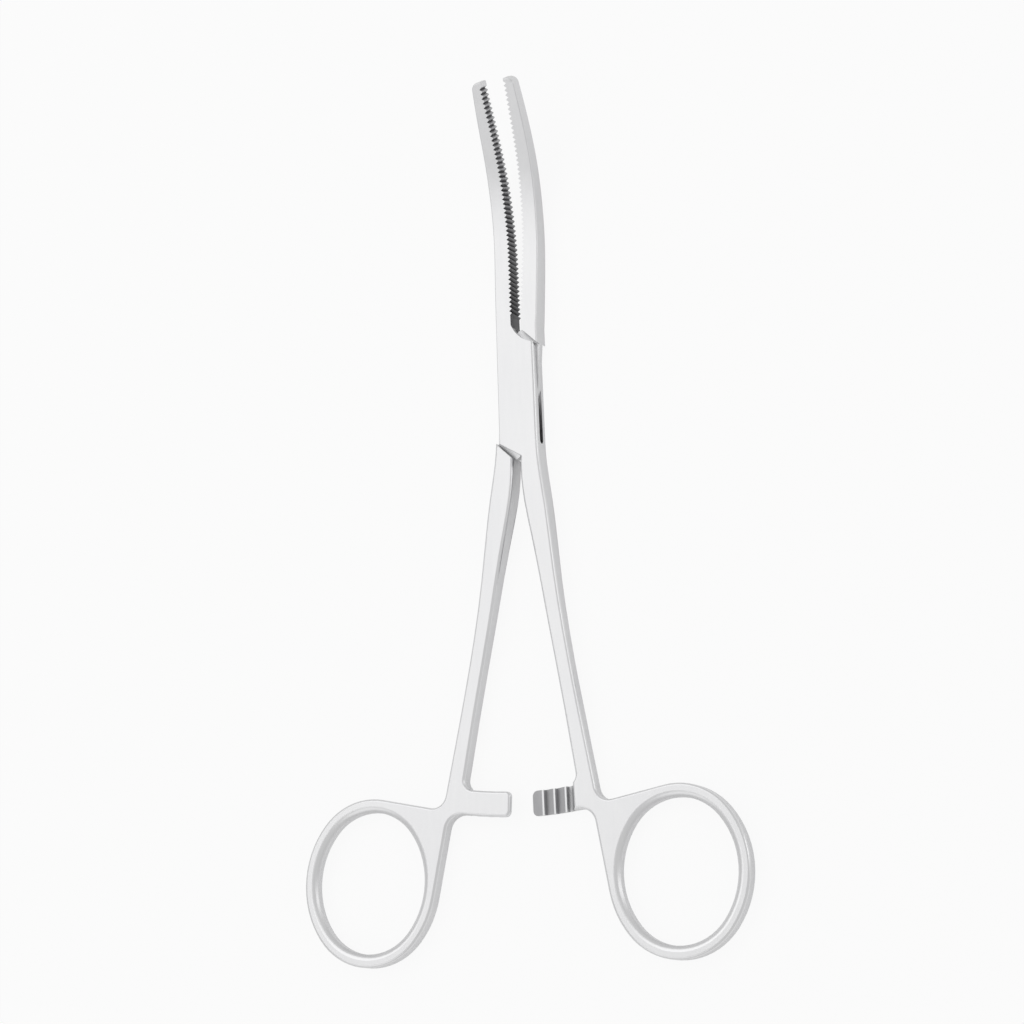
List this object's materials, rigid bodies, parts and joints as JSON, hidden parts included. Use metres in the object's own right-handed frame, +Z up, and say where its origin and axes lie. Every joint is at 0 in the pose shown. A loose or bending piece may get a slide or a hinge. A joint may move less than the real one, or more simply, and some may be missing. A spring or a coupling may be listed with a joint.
{
  "type": "hemostat forceps",
  "caption": "Curved artery forceps with a box lock, cross-serrated jaws, finger rings and a ratchet, shown slightly open.",
  "frame": {"origin": "turning axis of the lock at the underside of the box, which lies on the table", "axes": "+Y towards the tips along the middle line between the halves, +Z up along the turning axis, +X to the side of the jaw that carries the tongue"},
  "size_m": [0.0864, 0.1608, 0.014],
  "materials": {
    "satin_steel": "satin",
    "pin_steel": "satin"
  },
  "bodies": {
    "box_side": {"female_half": "satin_steel", "lock_pin": "pin_steel"},
    "tongue_side": {"male_half": "satin_steel"}
  },
  "joints": [
    {"name": "lock_hinge", "type": "hinge", "parent": "box_side", "child": "tongue_side", "pos_m": [0, 0, 0.002], "axis": [0, 0, -1], "range_deg": [-4.6, 45]}
  ]
}
